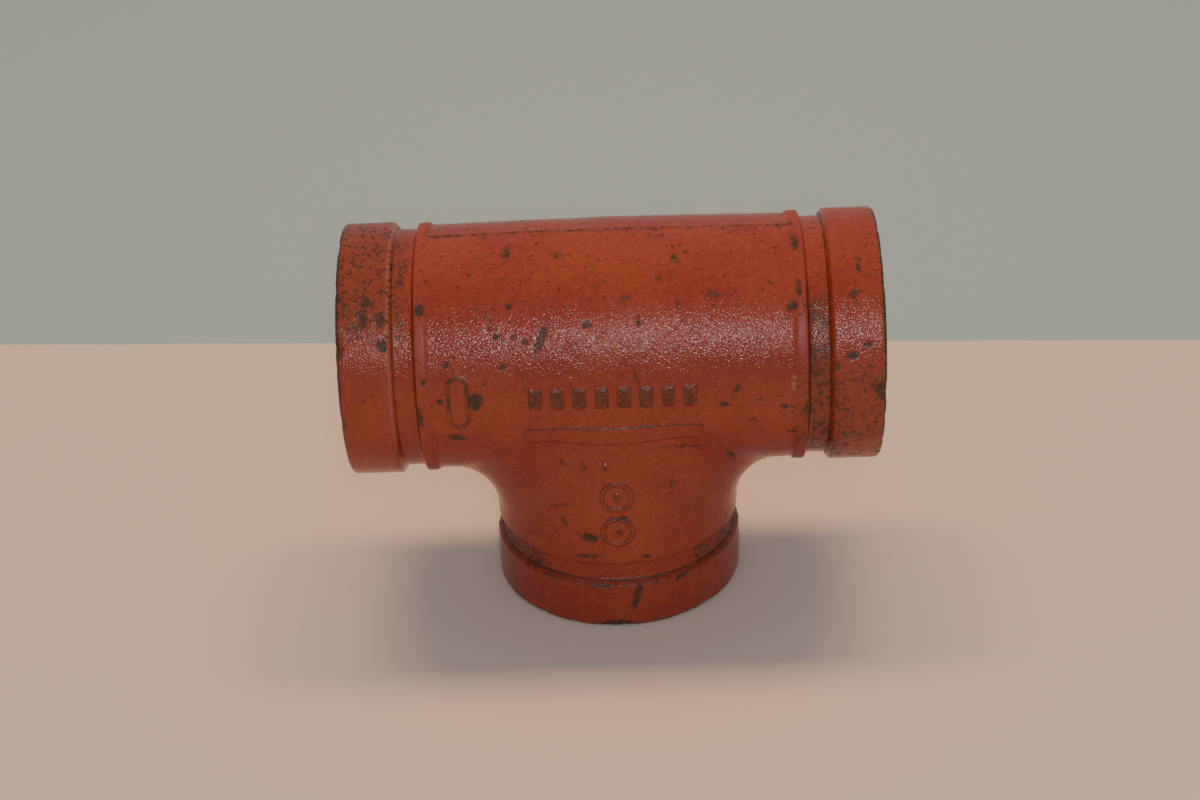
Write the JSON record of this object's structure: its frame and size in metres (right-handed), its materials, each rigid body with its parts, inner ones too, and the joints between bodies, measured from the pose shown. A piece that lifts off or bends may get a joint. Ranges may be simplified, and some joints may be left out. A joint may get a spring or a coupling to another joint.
{
  "type": "grooved pipe tee",
  "caption": "Painted cast-iron pipe tee with equal grooved ends: a straight run and a branch at a right angle, for joining pipes with grooved couplings.",
  "frame": {"origin": "centre of the branch's end face, on which the tee stands", "axes": "+X along the run, +Z from the branch's end face up to the run, +Y away from the side with the raised marks"},
  "size_m": [0.1524, 0.073, 0.1127],
  "materials": {
    "enamel": "orange-red enamel over rough sand-cast iron, chipped along the rims and dirty in the grooves"
  },
  "bodies": {
    "root": {"tee_casting": "enamel"}
  },
  "joints": []
}
